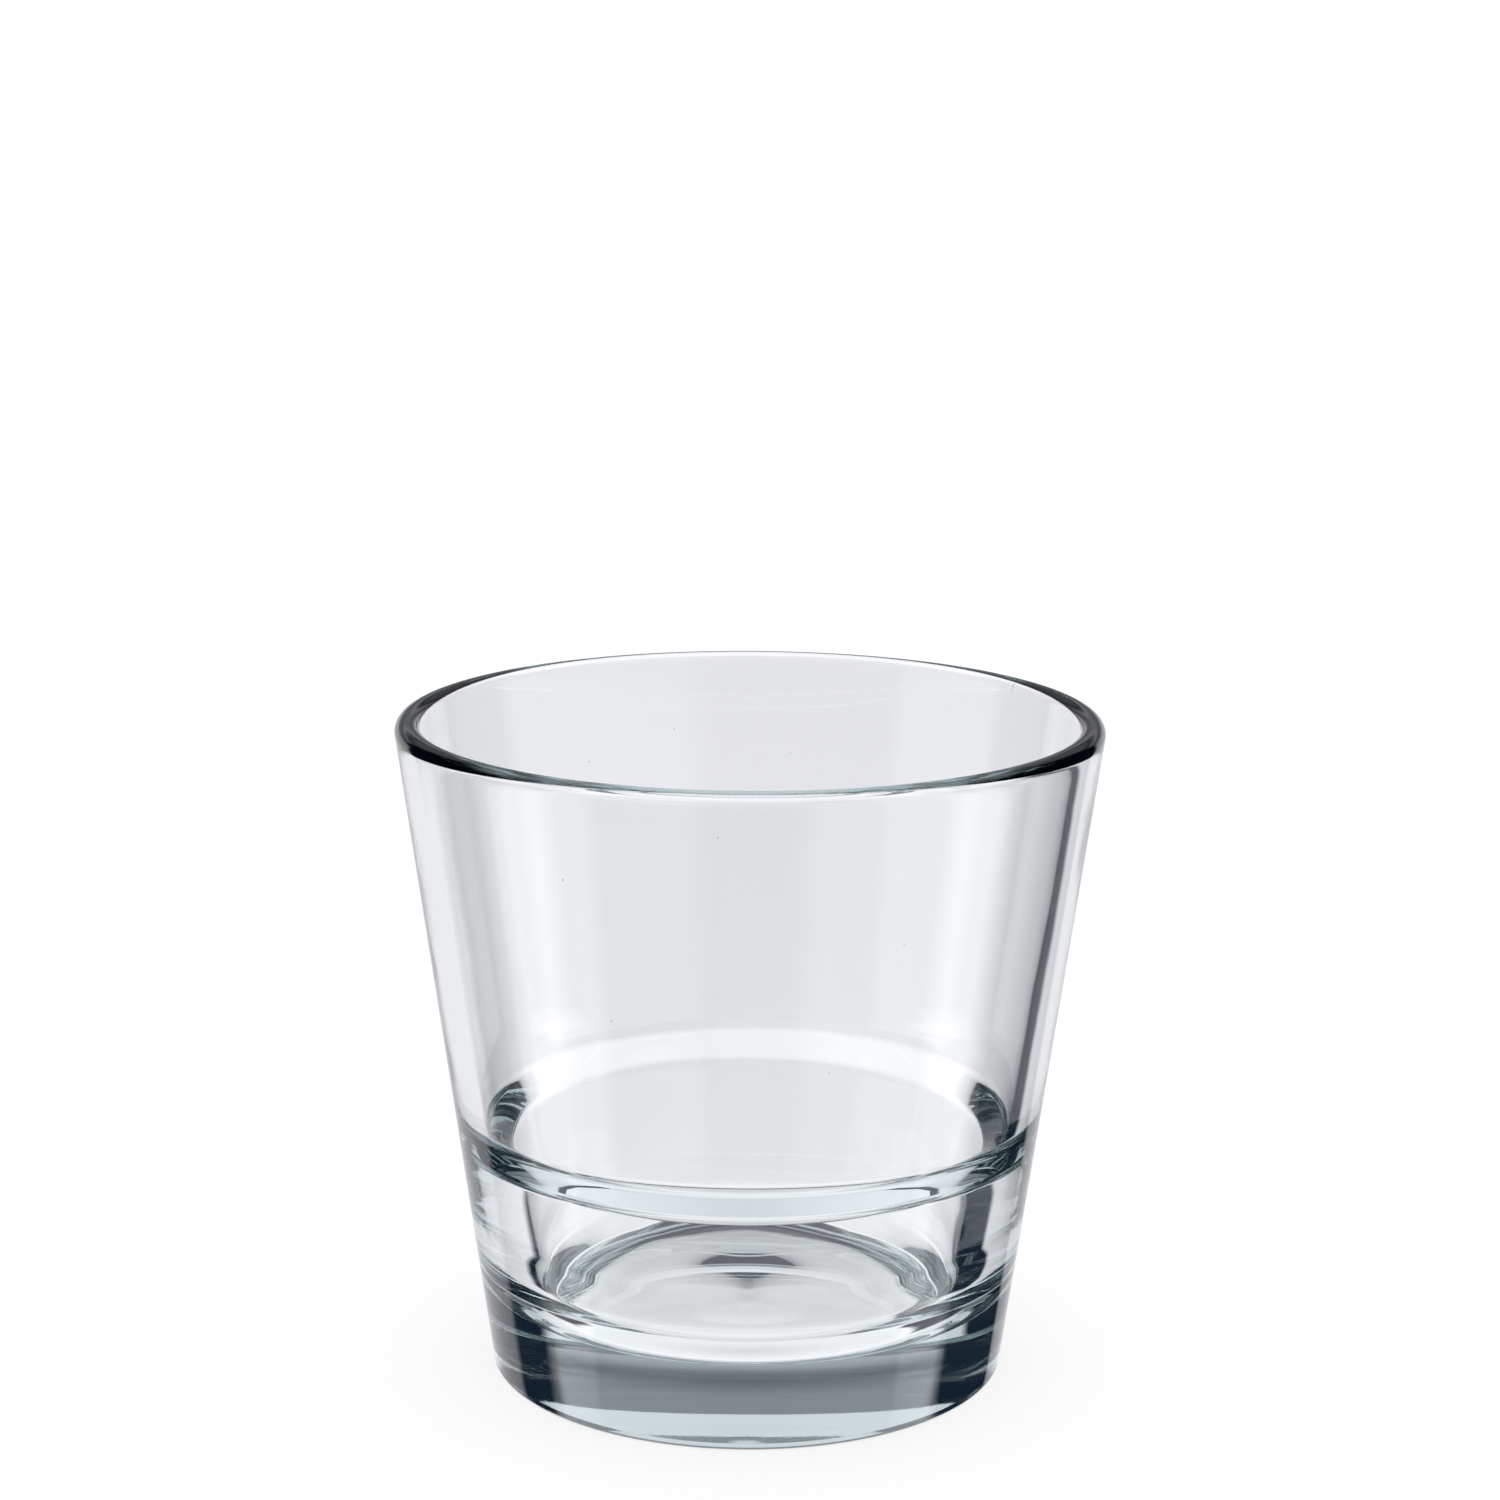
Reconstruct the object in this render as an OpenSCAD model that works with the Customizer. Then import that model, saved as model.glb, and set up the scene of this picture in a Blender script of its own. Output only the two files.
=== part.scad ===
// Whiskey tumbler: one piece of pressed, tempered glass. Outside it is a plain
// cone. Inside, from the top down, it has a wide upper cup, a sloping ledge that
// carries the foot of another tumbler, a slightly barrelled lower cup with a gently
// dished floor, and a thick solid base.

/* [Glass] */
// height from the table to the rim
height = 87; // [82:1:94]
// outer diameter at the rim
rim_d = 92; // [89:1:97]
// outer diameter at the foot
foot_d = 67.6; // [60:0.2:69]

/* [Rim and wall] */
// wall thickness at the rim, measured level
rim_wall = 3.3; // [3:0.1:4]
// rounding of the rim's outer edge
rim_round_out = 1.5; // [1.2:0.1:1.7]
// rounding of the rim's inner edge
rim_round_in = 1.4; // [1:0.1:1.6]

/* [Stacking ledge] */
// height where the wall meets the ledge
ledge_h = 34.9; // [33:0.1:38]
// gap all round between the upper cup and a stacked foot
stack_gap = 1.2; // [0.8:0.1:1.8]
// level width of the ledge's slope
ledge_w = 3.7; // [3.3:0.1:4.4]
// drop of the ledge's slope
ledge_drop = 4; // [3.6:0.1:5]
// rounding of the hollow where the wall meets the ledge
ledge_round_out = 4; // [2:0.5:5]
// rounding of the ledge's inner edge
ledge_round_in = 3; // [2:0.5:4]

/* [Lower cup and base] */
// height of the lower cup's waist
waist_h = 20.3; // [18:0.1:22]
// how far the waist lies inside the ledge's inner edge
waist_in = 2; // [1.6:0.1:2.4]
// rounding of the waist
waist_round = 32; // [12:2:36]
// how far the lower cup draws in from its waist to its floor
floor_in = 1.6; // [1.2:0.1:2]
// thickness of the solid base at the floor's edge
base_t = 9.2; // [8.5:0.1:10.2]
// rounding of the corner between the floor and the wall
floor_round = 9; // [5:0.5:9.5]
// diameter of the dish in the middle of the floor
dish_d = 24; // [20:1:28]
// drop from the floor's edge to the dish's edge
dish_edge_drop = 0.3; // [0.2:0.1:0.5]
// drop from the floor's edge to the middle of the dish
dish_drop = 1.2; // [0.8:0.1:1.4]
// rounding of the dish's edge
dish_round = 60; // [20:5:60]
// rounding of the foot's outer edge
heel_round = 0.6; // [0.5:0.1:1.2]
// width of the ring that the glass stands on
ring_w = 4.8; // [3:0.1:6]
// rounding of the ring's inner edge
ring_round = 1.2; // [0.4:0.1:1.4]
// depth of the shallow hollow under the base
hollow_h = 0.7; // [0.6:0.1:1.6]

/* [Hidden] */
$fn = 96;

glass_tint = [0.86, 0.91, 0.90, 0.45];

// steps in each rounded corner, and in the dome under the base
arc_steps = 8;
dome_steps = 10;

rim_r = rim_d / 2;
foot_r = foot_d / 2;
ring_r = foot_r - ring_w;

// the upper cup is as wide at the ledge as a stacked foot and its gap
seat_r = foot_r + stack_gap;

// the inside steps in from there to the lower cup's mouth, its waist and its floor
throat_r = seat_r - ledge_w;
waist_r = throat_r - waist_in;
floor_r = waist_r - floor_in;

// radius of the sphere that shapes the hollow under the base
dome_r = (ring_r * ring_r + hollow_h * hollow_h) / (2 * hollow_h);

// direction from one point to another, of length 1
function toward(from, to) = (to - from) / norm(to - from);

// a point turned about the origin
function turned(p, angle) = [
    p.x * cos(angle) - p.y * sin(angle),
    p.x * sin(angle) + p.y * cos(angle)
];

// the arc that rounds the corner at p, between its neighbours a and b
function rounded(a, p, b, r) =
    let (
        back = toward(p, a),
        on = toward(p, b),
        half = acos(back * on) / 2,
        centre = p + toward([0, 0], back + on) * r / sin(half),
        start = p + back * r / tan(half) - centre,
        sweep = sign(-cross(back, on)) * (180 - 2 * half)
    )
    [for (k = [0 : arc_steps]) centre + turned(start, sweep * k / arc_steps)];

// height of the hollow under the base at a radius
function hollow_z(r) = hollow_h - dome_r + sqrt(dome_r * dome_r - r * r);

// the hollow under the base, from the middle to just inside the ring
hollow_line = [for (k = [0 : dome_steps - 1]) let (r = ring_r * k / dome_steps) [r, hollow_z(r)]];

// the corners of the half section, from the ring round the outside to the floor
corners = [
    [ring_r, 0],
    [foot_r, 0],
    [rim_r, height],
    [rim_r - rim_wall, height],
    [seat_r, ledge_h],
    [throat_r, ledge_h - ledge_drop],
    [waist_r, waist_h],
    [floor_r, base_t],
    [dish_d / 2, base_t - dish_edge_drop],
    [0, base_t - dish_drop]
];

// the rounding of each corner but the last
roundings = [
    ring_round,
    heel_round,
    rim_round_out,
    rim_round_in,
    ledge_round_out,
    ledge_round_in,
    waist_round,
    floor_round,
    dish_round
];

// the corner before a given one
function before(i) = i == 0 ? hollow_line[dome_steps - 1] : corners[i - 1];

section = [
    each hollow_line,
    for (i = [0 : len(roundings) - 1]) each rounded(before(i), corners[i], corners[i + 1], roundings[i]),
    corners[len(corners) - 1]
];

// the whole glass, turned from its half section
module tumbler() {
    color(glass_tint)
        rotate_extrude()
            polygon(section);
}

tumbler();
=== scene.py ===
"""Whiskey tumbler: one piece of clear pressed glass, with a stacking ledge inside and a thick base."""

import math

import bmesh
import bpy
from mathutils import Matrix


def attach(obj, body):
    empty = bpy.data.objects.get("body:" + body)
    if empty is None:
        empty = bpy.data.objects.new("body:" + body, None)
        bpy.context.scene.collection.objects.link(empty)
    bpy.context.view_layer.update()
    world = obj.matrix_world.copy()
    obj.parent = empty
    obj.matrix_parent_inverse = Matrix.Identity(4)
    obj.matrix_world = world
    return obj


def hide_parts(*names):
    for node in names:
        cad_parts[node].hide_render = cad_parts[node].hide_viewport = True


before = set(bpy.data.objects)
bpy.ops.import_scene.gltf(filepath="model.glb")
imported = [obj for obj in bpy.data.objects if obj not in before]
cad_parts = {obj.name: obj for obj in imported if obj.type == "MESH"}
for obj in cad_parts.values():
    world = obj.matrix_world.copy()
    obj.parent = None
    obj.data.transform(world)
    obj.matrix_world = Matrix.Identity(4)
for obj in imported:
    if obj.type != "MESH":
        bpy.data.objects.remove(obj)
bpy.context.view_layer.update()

# Sizes of the glass in millimetres, the same as in the part's source.
GLASS = {
    "Height": 87.0,
    "Rim radius": 46.0,
    "Foot radius": 33.8,
    "Rim wall": 3.3,
    "Rim rounding outside": 1.5,
    "Rim rounding inside": 1.4,
    "Ledge height": 34.9,
    "Stacking gap": 1.2,
    "Ledge width": 3.7,
    "Ledge drop": 4.0,
    "Ledge rounding outside": 4.0,
    "Ledge rounding inside": 3.0,
    "Waist height": 20.3,
    "Waist width": 2.0,
    "Waist rounding": 32.0,
    "Floor width": 1.6,
    "Base thickness": 9.2,
    "Floor rounding": 9.0,
    "Dish radius": 12.0,
    "Dish edge drop": 0.3,
    "Dish drop": 1.2,
    "Dish rounding": 60.0,
    "Heel rounding": 0.6,
    "Ring width": 4.8,
    "Ring rounding": 1.2,
    "Hollow depth": 0.7,
}

# A millimetre, in metres, because the sizes are turned into metres at the end.
MILLIMETRE = 0.001

# How finely the glass is turned. The two lengths are in millimetres.
STEPS_AROUND = 256
STEPS_IN_ROUNDING = 14
STEPS_IN_HOLLOW = 24
LONGEST_STEP = 1.6
MERGE_DISTANCE = 0.0005

# Waves that the plunger and the fire polish leave in the surfaces, in millimetres.
WAVES = {
    "Inside wave height": 0.07,
    "Outside wave height": 0.012,
    "Wave width": 17.0,
    "Wave seed": 4.0,
}
WAVE_DETAIL = 1.5
WAVE_ROUGHNESS = 0.4

# Where the waves fade in, in millimetres: there are none at the first length, and all at the second.
INSIDE_DEPTH = (1.4, 2.4)
INSIDE_HEIGHT = (8.5, 9.5)
INSIDE_BELOW_RIM = (1.0, 6.0)
OUTSIDE_DEPTH = (0.5, 0.1)
OUTSIDE_HEIGHT = (2.0, 8.0)
OUTSIDE_BELOW_RIM = (3.0, 10.0)

WHITE = (1.0, 1.0, 1.0, 1.0)

# The glass: how it bends light, its tint, and how quickly the tint deepens.
GLASS_IOR = 1.52
GLASS_TINT = (0.52, 0.7, 0.69, 1.0)
TINT_DENSITY = 10.0

# Its finish. Lengths are in metres, and levels are those of a noise that runs from 0 to 1. Where
# there are two numbers, the finish fades in from the first to the second.
DUST_SPACING = 0.0065
DUST_SIZE = 0.00016
DUST_COLOUR = (0.3, 0.32, 0.36, 1.0)
SMUDGE_WIDTH = 0.025
SMUDGE_LEVELS = (0.55, 0.75)
SMUDGE_ROUGHNESS = 0.012
SCUFF_WIDTH = 0.0007
SCUFF_LEVELS = (0.45, 0.6)
SCUFF_HEIGHTS = (0.0007, 0.0001)
SCUFF_ROUGHNESS = 0.06
RIPPLE_WIDTH = 0.006
RIPPLE_HEIGHT = 0.000004

# The camera: its place in metres, how far it looks down and leans in degrees, its lens in millimetres.
CAMERA_PLACE = (0.0, -0.4422, 0.1789)
CAMERA_DOWN = 12.32
CAMERA_ROLL = 0.315
CAMERA_LENS = 83.92


class Wire:
    """A node socket that takes part in plain arithmetic."""

    def __init__(self, board, socket):
        self.board = board
        self.socket = socket

    def __add__(self, other):
        return self.board.maths("ADD", self, other)

    def __radd__(self, other):
        return self.board.maths("ADD", other, self)

    def __sub__(self, other):
        return self.board.maths("SUBTRACT", self, other)

    def __rsub__(self, other):
        return self.board.maths("SUBTRACT", other, self)

    def __mul__(self, other):
        return self.board.maths("MULTIPLY", self, other)

    def __rmul__(self, other):
        return self.board.maths("MULTIPLY", other, self)

    def __truediv__(self, other):
        return self.board.maths("DIVIDE", self, other)

    def __rtruediv__(self, other):
        return self.board.maths("DIVIDE", other, self)


def set_stops(stops, greys):
    """Gives a ramp its stops. greys holds {place from 0 to 1: grey}, in order of place."""
    while len(stops) < len(greys):
        stops.new(0.5)
    for stop, (place, grey) in zip(stops, greys.items()):
        stop.position = place
        stop.color = (grey, grey, grey, 1.0)


class Board:
    """A node tree with one way of adding a node and one of adding a sum."""

    def __init__(self, tree):
        self.tree = tree

    def add(self, kind, settings=None, values=None):
        node = self.tree.nodes.new(kind)
        for name, value in (settings or {}).items():
            if name == "stops":
                set_stops(node.color_ramp.elements, value)
            else:
                setattr(node, name, value)
        for name, value in (values or {}).items():
            self.feed(node.inputs[name], value)
        return node

    def feed(self, socket, value):
        if isinstance(value, Wire):
            value = value.socket
        if isinstance(value, bpy.types.NodeSocket):
            self.tree.links.new(value, socket)
        else:
            socket.default_value = value

    def wire(self, kind, settings=None, values=None, out=0):
        return Wire(self, self.add(kind, settings, values).outputs[out])

    def maths(self, operation, *values):
        return self.wire("ShaderNodeMath", {"operation": operation}, dict(enumerate(values)))

    def mixed(self, share, first, second):
        """The number first where share is 0, and second where share is 1."""
        return first + (second - first) * share

    def blended(self, share, first, second, clamped=True):
        """The colour first where share is 0, and second where share is 1."""
        settings = {"data_type": "RGBA", "clamp_factor": clamped}
        return self.wire("ShaderNodeMix", settings, {0: share, 6: first, 7: second}, out=2)

    def noise(self, place, width, detail):
        """Soft random patches about width metres across, from 0 to 1."""
        values = {"Vector": place, "Scale": 1.0 / width, "Detail": detail}
        return self.wire("ShaderNodeTexNoise", None, values)

    def ramp(self, value, low, high, start=0.0, end=1.0):
        """A soft step from start to end as value goes from low to high."""
        return self.wire(
            "ShaderNodeMapRange",
            {"interpolation_type": "SMOOTHSTEP"},
            {0: value, 1: low, 2: high, 3: start, 4: end},
        )


def make_camera():
    camera = bpy.data.objects.new("camera", bpy.data.cameras.new("camera"))
    camera.data.lens = CAMERA_LENS
    tilt = Matrix.Rotation(math.radians(90.0 - CAMERA_DOWN), 4, "X")
    roll = Matrix.Rotation(math.radians(CAMERA_ROLL), 4, "Z")
    camera.matrix_world = Matrix.Translation(CAMERA_PLACE) @ tilt @ roll
    bpy.context.scene.collection.objects.link(camera)
    bpy.context.scene.camera = camera


def section_points(size):
    """The corners of the half section from the standing ring round the outside to the middle of the
    floor, each with its radius from the axis, its height and its rounding."""
    foot = size["Foot radius"]
    rim = size["Rim radius"]
    seat = foot + size["Stacking gap"]
    ledge = size["Ledge height"]
    throat = seat - size["Ledge width"]
    waist = throat - size["Waist width"]
    base = size["Base thickness"]
    return [
        (foot - size["Ring width"], 0.0, size["Ring rounding"]),
        (foot, 0.0, size["Heel rounding"]),
        (rim, size["Height"], size["Rim rounding outside"]),
        (rim - size["Rim wall"], size["Height"], size["Rim rounding inside"]),
        (seat, ledge, size["Ledge rounding outside"]),
        (throat, ledge - size["Ledge drop"], size["Ledge rounding inside"]),
        (waist, size["Waist height"], size["Waist rounding"]),
        (waist - size["Floor width"], base, size["Floor rounding"]),
        (size["Dish radius"], base - size["Dish edge drop"], size["Dish rounding"]),
        (0.0, base - size["Dish drop"], 0.0),
    ]


def section_curve(board, size):
    """The half section as a line of points, with every corner rounded by a true arc."""
    corners = section_points(size)
    index = board.wire("GeometryNodeInputIndex")
    corner = index - STEPS_IN_HOLLOW

    ring = size["Foot radius"] - size["Ring width"]
    depth = size["Hollow depth"]
    dome = (ring * ring + depth * depth) / (2.0 * depth)
    along = ring * index / STEPS_IN_HOLLOW
    hollow_z = depth - dome + board.maths("SQRT", dome * dome - along * along)
    hollow = board.wire("ShaderNodeCombineXYZ", None, {0: along, 2: hollow_z})

    place = board.add("GeometryNodeIndexSwitch", {"data_type": "VECTOR"})
    bend = board.add("GeometryNodeIndexSwitch", {"data_type": "FLOAT"})
    for _ in corners[2:]:
        place.index_switch_items.new()
        bend.index_switch_items.new()
    board.feed(place.inputs[0], corner)
    board.feed(bend.inputs[0], corner)
    for i, (radius, height, rounding) in enumerate(corners):
        board.feed(place.inputs[i + 1], board.wire("ShaderNodeCombineXYZ", None, {0: radius, 2: height}))
        board.feed(bend.inputs[i + 1], rounding)

    in_hollow = board.maths("LESS_THAN", index, STEPS_IN_HOLLOW - 0.5)
    position = board.wire(
        "GeometryNodeSwitch",
        {"input_type": "VECTOR"},
        {"Switch": in_hollow, "False": place.outputs[0], "True": hollow},
    )
    rounding = board.wire(
        "GeometryNodeSwitch",
        {"input_type": "FLOAT"},
        {"Switch": in_hollow, "False": bend.outputs[0], "True": 0.0},
    )
    line = board.wire(
        "GeometryNodeResampleCurve",
        {"mode": "COUNT"},
        {
            "Curve": board.wire("GeometryNodeCurvePrimitiveLine"),
            "Count": STEPS_IN_HOLLOW + len(corners),
        },
    )
    placed = board.wire("GeometryNodeSetPosition", None, {"Geometry": line, "Position": position})
    rounded = board.wire(
        "GeometryNodeFilletCurve",
        {"mode": "POLY"},
        {"Curve": placed, "Count": STEPS_IN_ROUNDING, "Radius": rounding},
    )
    here = board.wire("GeometryNodeInputPosition")
    following = board.wire(
        "GeometryNodeFieldAtIndex",
        {"data_type": "FLOAT_VECTOR", "domain": "POINT"},
        {"Index": index + 1.0, "Value": here},
    )
    gap = board.wire("ShaderNodeVectorMath", {"operation": "DISTANCE"}, {0: here, 1: following}, out=1)
    cuts = board.maths("FLOOR", gap / LONGEST_STEP)
    return board.wire("GeometryNodeSubdivideCurve", None, {"Curve": rounded, "Cuts": cuts})


def turned_glass_tree(material):
    """Turns the half section round the axis and gives the surfaces their slight waves."""
    tree = bpy.data.node_groups.new("turned glass", "GeometryNodeTree")
    tree.interface.new_socket("Geometry", in_out="OUTPUT", socket_type="NodeSocketGeometry")
    identifiers = {}
    for name in [*GLASS, *WAVES]:
        socket = tree.interface.new_socket(name, in_out="INPUT", socket_type="NodeSocketFloat")
        identifiers[name] = socket.identifier
    board = Board(tree)
    group = board.add("NodeGroupInput")
    size = {name: Wire(board, group.outputs[name]) for name in [*GLASS, *WAVES]}

    curve = section_curve(board, size)
    rows = board.wire("GeometryNodeAttributeDomainSize", {"component": "CURVE"}, {"Geometry": curve})
    grid = board.wire(
        "GeometryNodeMeshGrid",
        None,
        {"Vertices X": STEPS_AROUND + 1, "Vertices Y": rows},
    )
    index = board.wire("GeometryNodeInputIndex")
    row = board.maths("MODULO", index, rows)
    column = board.maths("FLOOR", (index + 0.5) / rows)
    sample = board.wire(
        "GeometryNodeSampleIndex",
        {"data_type": "FLOAT_VECTOR", "domain": "POINT"},
        {"Geometry": curve, "Value": board.wire("GeometryNodeInputPosition"), "Index": row},
    )
    part = board.add("ShaderNodeSeparateXYZ", None, {0: sample}).outputs
    radius = Wire(board, part[0])
    height = Wire(board, part[2])
    angle = column * (2.0 * math.pi / STEPS_AROUND)
    around = board.wire(
        "ShaderNodeCombineXYZ",
        None,
        {0: radius * board.maths("COSINE", angle), 1: radius * board.maths("SINE", angle), 2: height},
    )
    turned = board.wire("GeometryNodeSetPosition", None, {"Geometry": grid, "Position": around})
    closed = board.wire(
        "GeometryNodeMergeByDistance",
        None,
        {"Geometry": turned, "Distance": MERGE_DISTANCE},
    )

    here = board.wire("GeometryNodeInputPosition")
    parts = board.add("ShaderNodeSeparateXYZ", None, {0: here}).outputs
    flat = board.wire("ShaderNodeCombineXYZ", None, {0: parts[0], 1: parts[1]})
    from_axis = board.wire("ShaderNodeVectorMath", {"operation": "LENGTH"}, {0: flat}, out=1)
    z = Wire(board, parts[2])
    cone = size["Foot radius"] + (size["Rim radius"] - size["Foot radius"]) * z / size["Height"]
    depth = cone - from_axis
    below_rim = size["Height"] - z
    inside = board.ramp(depth, *INSIDE_DEPTH) * board.ramp(z, *INSIDE_HEIGHT)
    inside = inside * board.ramp(below_rim, *INSIDE_BELOW_RIM)
    outside = board.ramp(depth, *OUTSIDE_DEPTH) * board.ramp(z, *OUTSIDE_HEIGHT)
    outside = outside * board.ramp(below_rim, *OUTSIDE_BELOW_RIM)
    noise = board.wire(
        "ShaderNodeTexNoise",
        {"noise_dimensions": "4D"},
        {
            "Vector": here,
            "W": size["Wave seed"],
            "Scale": 1.0 / size["Wave width"],
            "Detail": WAVE_DETAIL,
            "Roughness": WAVE_ROUGHNESS,
        },
    )
    swell = (noise - 0.5) * 2.0
    height_of_wave = inside * size["Inside wave height"] - outside * size["Outside wave height"]
    offset = board.wire(
        "ShaderNodeVectorMath",
        {"operation": "SCALE"},
        {0: board.wire("GeometryNodeInputNormal"), "Scale": swell * height_of_wave},
    )
    waved = board.wire("GeometryNodeSetPosition", None, {"Geometry": closed, "Offset": offset})
    metres = board.wire("GeometryNodeTransform", None, {"Geometry": waved, "Scale": (MILLIMETRE,) * 3})
    smooth = board.wire("GeometryNodeSetShadeSmooth", None, {"Geometry": metres})
    real = board.wire("GeometryNodeRealizeInstances", None, {"Geometry": smooth})
    dressed = board.wire("GeometryNodeSetMaterial", None, {"Geometry": real, "Material": material})
    board.add("NodeGroupOutput", None, {"Geometry": dressed})
    return tree, identifiers


def make_glass(material):
    tree, identifiers = turned_glass_tree(material)
    maker = bpy.data.objects.new("maker", bpy.data.meshes.new("maker"))
    bpy.context.scene.collection.objects.link(maker)
    modifier = maker.modifiers.new("turned glass", "NODES")
    modifier.node_group = tree
    for name, value in {**GLASS, **WAVES}.items():
        modifier[identifiers[name]] = value
    depsgraph = bpy.context.evaluated_depsgraph_get()
    mesh = bpy.data.meshes.new_from_object(maker.evaluated_get(depsgraph))
    bpy.data.objects.remove(maker)
    mesh.name = "tumbler_glass"
    glass = bpy.data.objects.new("tumbler_glass", mesh)
    bpy.context.scene.collection.objects.link(glass)
    return glass


def clear_glass():
    """Fire-polished clear glass with a faint grey-green tint that deepens with thickness, some specks
    of dust, faint smudges and a scuffed ring where it stands."""
    material = bpy.data.materials.new("clear pressed glass")
    material.use_nodes = True
    board = Board(material.node_tree)
    board.tree.nodes.clear()
    place = board.wire("ShaderNodeTexCoord", None, None, out="Object")

    dust = board.wire("ShaderNodeTexVoronoi", None, {"Vector": place, "Scale": 1.0 / DUST_SPACING})
    edge = DUST_SIZE / DUST_SPACING
    speck = board.ramp(dust, edge, edge / 2.0)
    colour = board.blended(speck, WHITE, DUST_COLOUR)

    smear = board.noise(place, SMUDGE_WIDTH, detail=3.0)
    grain = board.noise(place, SCUFF_WIDTH, detail=2.0)
    height = board.wire("ShaderNodeSeparateXYZ", None, {0: place}, out=2)
    scuff = board.ramp(height, *SCUFF_HEIGHTS) * board.ramp(grain, *SCUFF_LEVELS)
    roughness = board.ramp(smear, *SMUDGE_LEVELS) * SMUDGE_ROUGHNESS + scuff * SCUFF_ROUGHNESS

    ripple = board.noise(place, RIPPLE_WIDTH, detail=1.0)
    normal = board.wire(
        "ShaderNodeBump",
        None,
        {"Strength": 1.0, "Distance": RIPPLE_HEIGHT, "Height": ripple},
    )
    shader = board.add(
        "ShaderNodeBsdfPrincipled",
        None,
        {
            "Base Color": colour,
            "Roughness": roughness,
            "IOR": GLASS_IOR,
            "Transmission Weight": 1.0,
            "Normal": normal,
        },
    )
    tint = board.add("ShaderNodeVolumeAbsorption", None, {"Color": GLASS_TINT, "Density": TINT_DENSITY})
    board.add(
        "ShaderNodeOutputMaterial",
        None,
        {"Surface": shader.outputs[0], "Volume": tint.outputs[0]},
    )
    return material


# The light tent round the glass, in degrees. Azimuth runs both ways from straight behind the glass,
# height is measured from the level of the table. It is not even all round: the glass is clear from
# where the backdrop is behind it, and looks dark from where a dark card or a grey wall is.
# First the backdrop: its light at each height.
BACKDROP = {
    -90: 0.8,
    -60: 1.0,
    -48: 1.0,
    -40: 1.12,
    -34: 1.05,
    -28: 0.89,
    -20: 0.89,
    -14: 0.89,
    -9: 0.86,
    4: 0.8,
    8: 0.3,
    12: 0.2,
    15: 0.5,
    17: 0.2,
    19: 0.1,
    23: 0.27,
    45: 0.32,
    60: 0.5,
    90: 0.5,
}

# Then the soft-edged panels that are hung over it, one over the other: azimuth from and to,
# height from and to, how wide the soft edge is, and light. These hang on both sides.
PANELS = {
    "dark cards all round, above the table": (36, 200, 8, 41, 5, 0.0),
    "dark cards at the sides": (42, 79, -16, 14, 4, 0.0),
    "low cards beside them": (54, 79, -38, -16, 6, 0.0),
    "side lamps": (84, 107, -36, -20, 5, 2.0),
    "grey wall behind the camera": (160, 200, -34, 12, 16, 0.12),
    "top light": (-8, 60, 43, 60, 5, 1.0),
    "ceiling over the backdrop": (-8, 20, 40, 80, 6, 0.8),
    "dark zenith": (-8, 200, 62, 110, 4, 0.01),
}

# These hang on one side only: the right is plus, the left is minus.
ONE_SIDED = {
    "large dark card on the right": (36, 80, -38, 12, 5, 0.0),
    "grey wall behind on the left": (-168, -124, -34, 12, 6, 0.12),
}

# The tent's radius in metres, how finely it is made, its colours where its light is 0 and where it
# is 1, and the light that a ramp's 1 stands for.
TENT_RADIUS = 4.0
TENT_SEGMENTS = 96
TENT_DARK = (0.008, 0.016, 0.03, 1.0)
TENT_BRIGHT = (0.965, 0.965, 1.0, 1.0)
RAMP_TOP = 2.0

# The floor: half its side in metres, its colour, and the glow of its own that brings it to white.
FLOOR_REACH = 20.0
FLOOR_COLOUR = (0.3, 0.3, 0.3, 1.0)
FLOOR_GLOW = 0.76

# How often light may be bent or thrown back inside the thick glass.
LIGHT_BOUNCES = 24


def ramp_place(height):
    """Where a height in degrees lies on a ramp that runs from straight down to straight up."""
    return (height + 90.0) / 180.0


def between(board, value, low, high, soft):
    """1 between low and high, fading to 0 over a soft edge."""
    rise = board.ramp(value, low - soft / 2, low + soft / 2)
    return rise * board.ramp(value, high - soft / 2, high + soft / 2, 1.0, 0.0)


def tent_light(board, direction):
    """How bright the tent round the glass is in each direction."""
    parts = board.add("ShaderNodeSeparateXYZ", None, {0: direction}).outputs
    x, y, z = (Wire(board, part) for part in parts)
    degrees = 180.0 / math.pi
    turn = board.maths("ARCTAN2", x, y) * degrees
    across = board.maths("ABSOLUTE", turn)
    up = board.maths("ARCSINE", z) * degrees
    stops = {ramp_place(height): level / RAMP_TOP for height, level in BACKDROP.items()}
    light = board.wire("ShaderNodeValToRGB", {"stops": stops}, {0: ramp_place(up)}) * RAMP_TOP
    for panels, angle in ((PANELS, across), (ONE_SIDED, turn)):
        for left, right, low, high, soft, level in panels.values():
            panel = between(board, angle, left, right, soft) * between(board, up, low, high, soft)
            light = board.mixed(panel, light, level)
    return light


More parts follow.
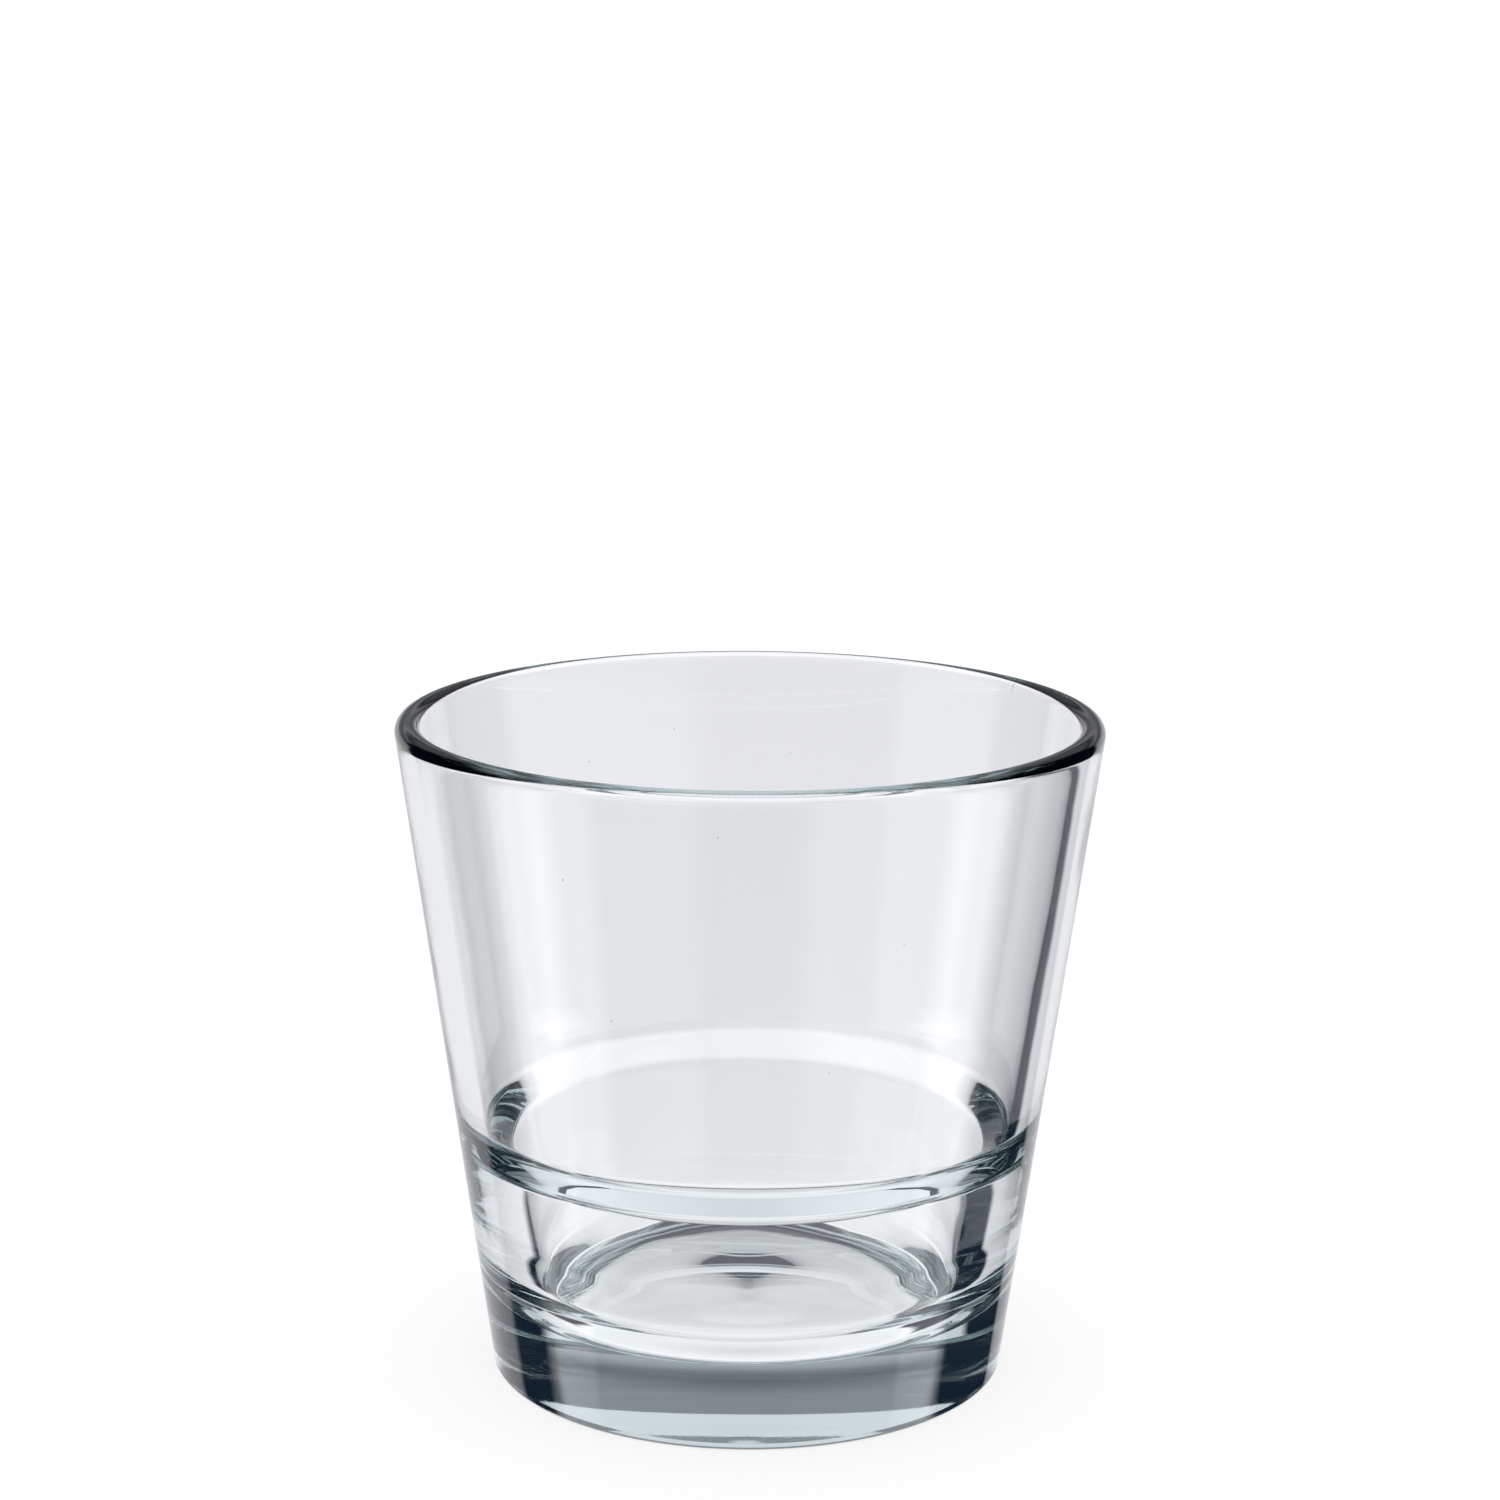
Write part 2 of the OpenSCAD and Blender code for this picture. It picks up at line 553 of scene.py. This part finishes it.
def make_tent():
    """A shell round the glass that only the glass sees."""
    material = bpy.data.materials.new("light tent")
    material.use_nodes = True
    board = Board(material.node_tree)
    board.tree.nodes.clear()
    place = board.wire("ShaderNodeTexCoord", None, None, out="Object")
    direction = board.wire("ShaderNodeVectorMath", {"operation": "NORMALIZE"}, {0: place})
    light = tent_light(board, direction)
    colour = board.blended(light, TENT_DARK, TENT_BRIGHT, clamped=False)
    glow = board.add("ShaderNodeEmission", None, {"Color": colour, "Strength": 1.0})
    board.add("ShaderNodeOutputMaterial", None, {"Surface": glow.outputs[0]})

    shape = bmesh.new()
    bmesh.ops.create_uvsphere(
        shape,
        u_segments=TENT_SEGMENTS,
        v_segments=TENT_SEGMENTS // 2,
        radius=TENT_RADIUS,
    )
    mesh = bpy.data.meshes.new("light tent")
    shape.to_mesh(mesh)
    shape.free()
    mesh.materials.append(material)
    tent = bpy.data.objects.new("light_tent", mesh)
    bpy.context.scene.collection.objects.link(tent)
    tent.visible_camera = False
    tent.visible_diffuse = False
    tent.visible_shadow = False
    tent.visible_volume_scatter = False


def make_floor():
    """A plain pale floor that keeps the soft shadow of the glass. The glass sees the tent instead of it."""
    material = bpy.data.materials.new("pale floor")
    material.use_nodes = True
    board = Board(material.node_tree)
    board.tree.nodes.clear()
    paint = board.add("ShaderNodeBsdfDiffuse", None, {"Color": FLOOR_COLOUR})
    seen = board.wire("ShaderNodeLightPath", None, None, out="Is Camera Ray")
    glow = board.add("ShaderNodeEmission", None, {"Strength": seen * FLOOR_GLOW})
    both = board.add("ShaderNodeAddShader", None, {0: paint.outputs[0], 1: glow.outputs[0]})
    board.add("ShaderNodeOutputMaterial", None, {"Surface": both.outputs[0]})
    shape = bmesh.new()
    bmesh.ops.create_grid(shape, x_segments=1, y_segments=1, size=FLOOR_REACH)
    mesh = bpy.data.meshes.new("floor")
    shape.to_mesh(mesh)
    shape.free()
    mesh.materials.append(material)
    floor = bpy.data.objects.new("floor", mesh)
    bpy.context.scene.collection.objects.link(floor)
    floor.visible_transmission = False
    floor.visible_glossy = False


def make_world():
    world = bpy.data.worlds.new("studio")
    bpy.context.scene.world = world
    world.use_nodes = True
    board = Board(world.node_tree)
    board.tree.nodes.clear()
    glow = board.add("ShaderNodeBackground", None, {"Color": WHITE, "Strength": 1.0})
    board.add("ShaderNodeOutputWorld", None, {"Surface": glow.outputs[0]})


make_camera()
glass = make_glass(clear_glass())
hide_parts("tumbler")
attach(glass, "root")
make_tent()
make_floor()
make_world()

scene = bpy.context.scene
scene.view_settings.view_transform = "Standard"
scene.cycles.max_bounces = LIGHT_BOUNCES
scene.cycles.transmission_bounces = LIGHT_BOUNCES
scene.cycles.glossy_bounces = LIGHT_BOUNCES
